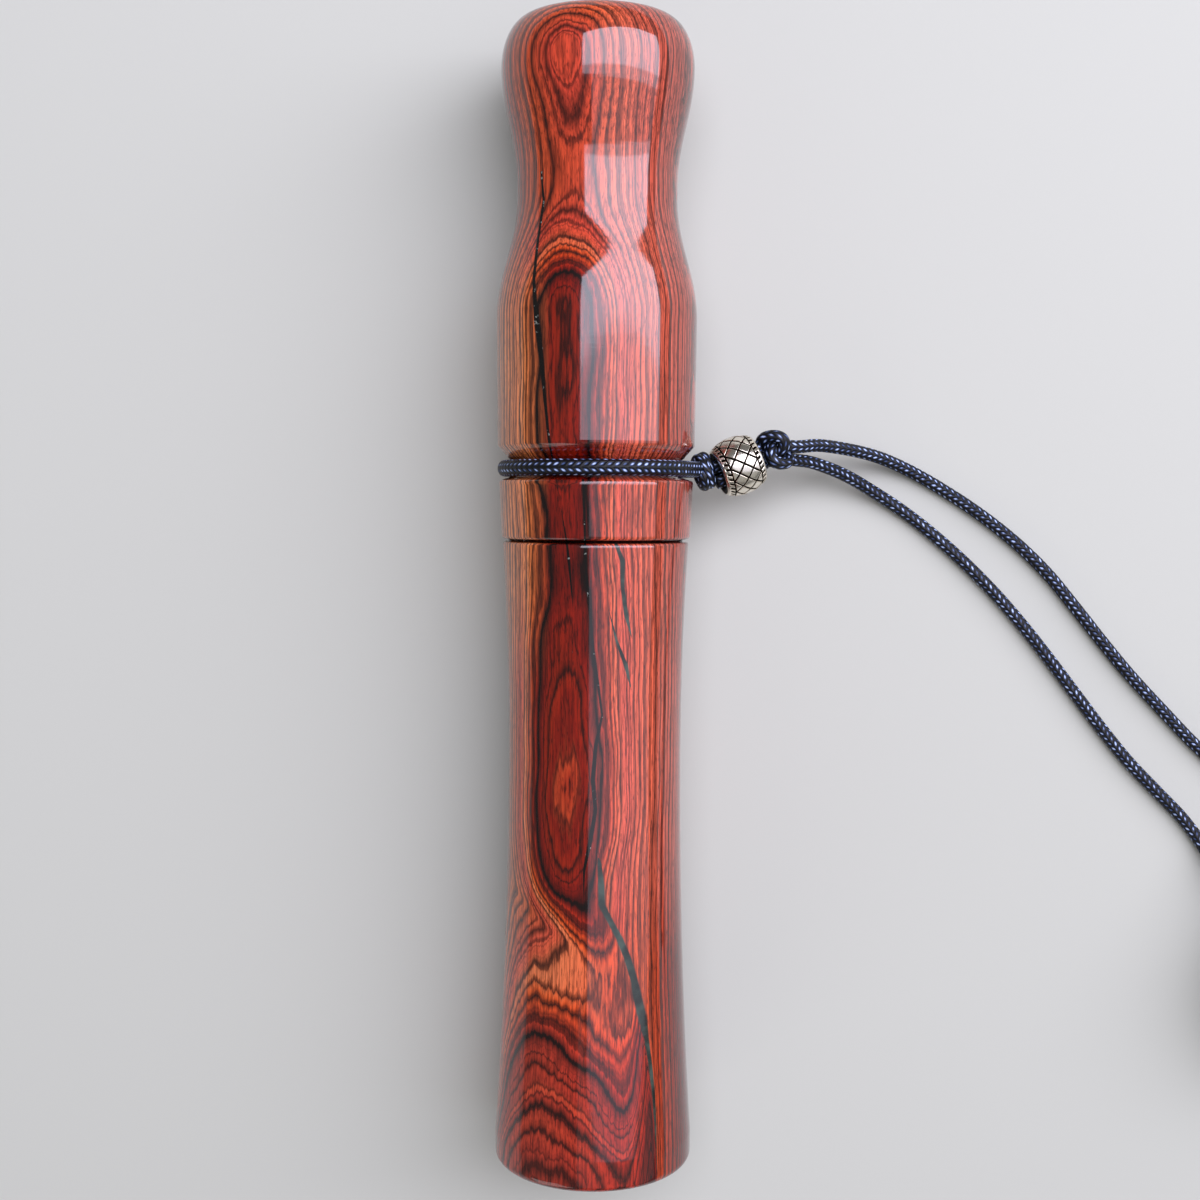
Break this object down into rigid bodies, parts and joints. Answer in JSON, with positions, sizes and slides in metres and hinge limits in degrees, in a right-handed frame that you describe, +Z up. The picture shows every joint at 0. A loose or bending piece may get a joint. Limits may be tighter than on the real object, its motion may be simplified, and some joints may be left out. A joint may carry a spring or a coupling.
{
  "type": "grunt call",
  "caption": "Turned hardwood grunt call in two pieces, with a tone board and reed inside, a bulb mouth end, a flared bell and a braided neck lanyard with a metal bead.",
  "frame": {"origin": "middle of the call's length and width, on the surface that the call lies on", "axes": "+Y along the call towards the end that is blown, +X towards the lanyard's bead, +Z up"},
  "size_m": [0.1514, 0.172, 0.0301],
  "materials": {
    "striped_hardwood": "turned tropical hardwood under a high-gloss clear coat",
    "o_ring_rubber": "moulded nitrile rubber",
    "moulded_board": "moulded ABS",
    "reed_film": "translucent polyester film",
    "cork": "cut cork",
    "braided_cord": "dark braided nylon with pale flecks",
    "antique_silver": "cast and darkened silver-coloured metal with bright high spots",
    "tie_strap": "woven black strap"
  },
  "bodies": {
    "mouthpiece": {"mouthpiece": "striped_hardwood", "noose": "braided_cord", "noose_knot": "braided_cord", "bead_cord_upper": "braided_cord", "bead_cord_lower": "braided_cord", "stopper_knot": "braided_cord", "upper_strand": "braided_cord", "lower_strand": "braided_cord", "neck_loop_coil": "braided_cord", "coil_tie": "tie_strap"},
    "bead": {"bead": "antique_silver"},
    "tenon_rings": {"tenon_o_ring_rear": "o_ring_rubber", "tenon_o_ring_front": "o_ring_rubber"},
    "bell": {"bell": "striped_hardwood"},
    "tone_board": {"tone_board": "moulded_board", "board_o_ring_rear": "o_ring_rubber", "board_o_ring_front": "o_ring_rubber", "reed_wedge": "cork"},
    "reed": {"reed": "reed_film"},
    "tuning_ring": {"tuning_ring": "o_ring_rubber"}
  },
  "joints": [
    {"name": "bell_pull", "type": "slide", "parent": "mouthpiece", "child": "tenon_rings", "axis": [0, -1, 0], "range_m": [0, 0.062]},
    {"name": "bell_twist", "type": "hinge", "parent": "tenon_rings", "child": "bell", "pos_m": [0, 0.01945, 0.01505], "axis": [0, 1, 0], "continuous": true},
    {"name": "tone_board_pull", "type": "slide", "parent": "bell", "child": "tone_board", "axis": [0, 1, 0], "range_m": [0, 0.0155]},
    {"name": "reed_flex", "type": "hinge", "parent": "tone_board", "child": "reed", "pos_m": [0, 0.0363, 0.01605], "axis": [-1, 0, 0], "range_deg": [0, 2.4], "stiffness_Nm_per_rad": 0.012},
    {"name": "tuning_ring_slide", "type": "slide", "parent": "tone_board", "child": "tuning_ring", "axis": [0, 1, 0], "range_m": [0, 0.01]},
    {"name": "bead_spin", "type": "hinge", "parent": "mouthpiece", "child": "bead", "pos_m": [0.0217, 0.0205, 0.01218], "axis": [0.9136, 0.3822, -0.1392], "continuous": true}
  ]
}
